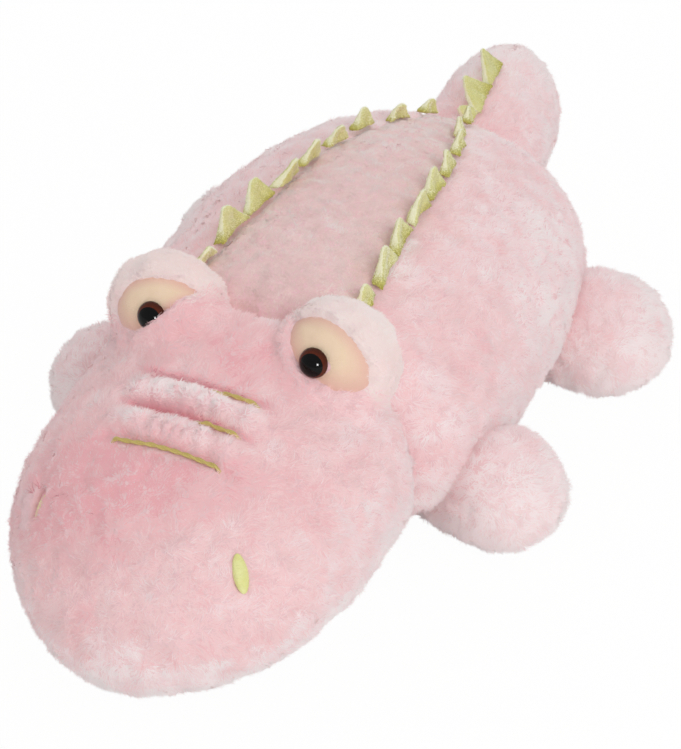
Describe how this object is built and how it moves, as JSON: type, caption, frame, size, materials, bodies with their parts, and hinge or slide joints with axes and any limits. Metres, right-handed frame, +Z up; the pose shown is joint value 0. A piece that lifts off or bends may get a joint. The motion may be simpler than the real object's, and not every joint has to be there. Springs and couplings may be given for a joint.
{
  "type": "plush crocodile",
  "caption": "Stuffed plush crocodile lying flat, with a broad round snout, hooded eyes, soft spikes along the back, paddle legs and a blunt tail.",
  "frame": {"origin": "on the floor under the middle of the toy's length, at the belly's rest face", "axes": "+Z up, -Y out of the nose, +Y along the tail, +X towards the animal's left"},
  "size_m": [0.283, 0.525, 0.1396],
  "materials": {
    "pink_plush": "soft tufted pile, matte with a pale sheen",
    "back_plush": "short crinkled pile, greyer pink, matte",
    "cream_velour": "short velour, matte",
    "lime_velour": "short velour, matte, darker along the folds",
    "olive_thread": "twisted embroidery thread, soft gloss",
    "lime_satin": "satin stitch, silky",
    "eye_plastic": "glossy, brown iris round a black pupil",
    "washer_plastic": "plain moulded",
    "fibre_fill": "loose white polyester fibre"
  },
  "bodies": {
    "torso": {"back_panel": "back_plush", "belly_panel": "pink_plush", "body_stuffing": "fibre_fill", "chin_panel": "pink_plush", "head_stuffing": "fibre_fill", "left_eye": "eye_plastic", "left_eye_washer": "washer_plastic", "left_eyeball": "cream_velour", "left_eyelid": "pink_plush", "left_flank_panel": "pink_plush", "left_mound_stuffing": "fibre_fill", "left_nostril": "lime_satin", "right_eye": "eye_plastic", "right_eye_washer": "washer_plastic", "right_eyeball": "cream_velour", "right_eyelid": "pink_plush", "right_flank_panel": "pink_plush", "right_mound_stuffing": "fibre_fill", "right_nostril": "lime_satin", "snout_top_panel": "pink_plush", "spike_left_01": "lime_velour", "spike_left_02": "lime_velour", "spike_left_03": "lime_velour", "spike_left_04": "lime_velour", "spike_left_05": "lime_velour", "spike_left_06": "lime_velour", "spike_left_07": "lime_velour", "spike_left_08": "lime_velour", "spike_left_09": "lime_velour", "spike_right_01": "lime_velour", "spike_right_02": "lime_velour", "spike_right_03": "lime_velour", "spike_right_04": "lime_velour", "spike_right_05": "lime_velour", "spike_right_06": "lime_velour", "spike_right_07": "lime_velour", "spike_right_08": "lime_velour", "spike_right_09": "lime_velour", "wrinkle_thread_1": "olive_thread", "wrinkle_thread_2": "olive_thread", "wrinkle_thread_3": "olive_thread"},
    "front_left_leg": {"front_left_leg_skin": "pink_plush", "front_left_leg_stuffing": "fibre_fill"},
    "front_right_leg": {"front_right_leg_skin": "pink_plush", "front_right_leg_stuffing": "fibre_fill"},
    "rear_left_leg": {"rear_left_leg_skin": "pink_plush", "rear_left_leg_stuffing": "fibre_fill"},
    "rear_right_leg": {"rear_right_leg_skin": "pink_plush", "rear_right_leg_stuffing": "fibre_fill"},
    "tail": {"tail_left_panel": "pink_plush", "tail_right_panel": "pink_plush", "tail_spike_1": "lime_velour", "tail_spike_2": "lime_velour", "tail_spike_3": "lime_velour", "tail_stuffing": "fibre_fill"}
  },
  "joints": [
    {"name": "front_left_leg_lift", "type": "hinge", "parent": "torso", "child": "front_left_leg", "pos_m": [0.0978, -0.062, 0.0583], "axis": [-0.1185, -0.993, 0], "range_deg": [0, 45], "stiffness_Nm_per_rad": 0.05},
    {"name": "front_right_leg_lift", "type": "hinge", "parent": "torso", "child": "front_right_leg", "pos_m": [-0.0968, -0.07, 0.0583], "axis": [-0.1458, 0.9893, 0], "range_deg": [0, 45], "stiffness_Nm_per_rad": 0.05},
    {"name": "rear_left_leg_lift", "type": "hinge", "parent": "torso", "child": "rear_left_leg", "pos_m": [0.0959, 0.074, 0.0583], "axis": [0.2036, -0.9791, 0], "range_deg": [0, 45], "stiffness_Nm_per_rad": 0.05},
    {"name": "rear_right_leg_lift", "type": "hinge", "parent": "torso", "child": "rear_right_leg", "pos_m": [-0.0971, 0.07, 0.0583], "axis": [0.18, 0.9837, 0], "range_deg": [0, 45], "stiffness_Nm_per_rad": 0.05},
    {"name": "tail_lift", "type": "hinge", "parent": "torso", "child": "tail", "pos_m": [-0.0002, 0.1413, 0.0826], "axis": [1, 0, 0], "range_deg": [0, 20], "stiffness_Nm_per_rad": 0.3}
  ]
}
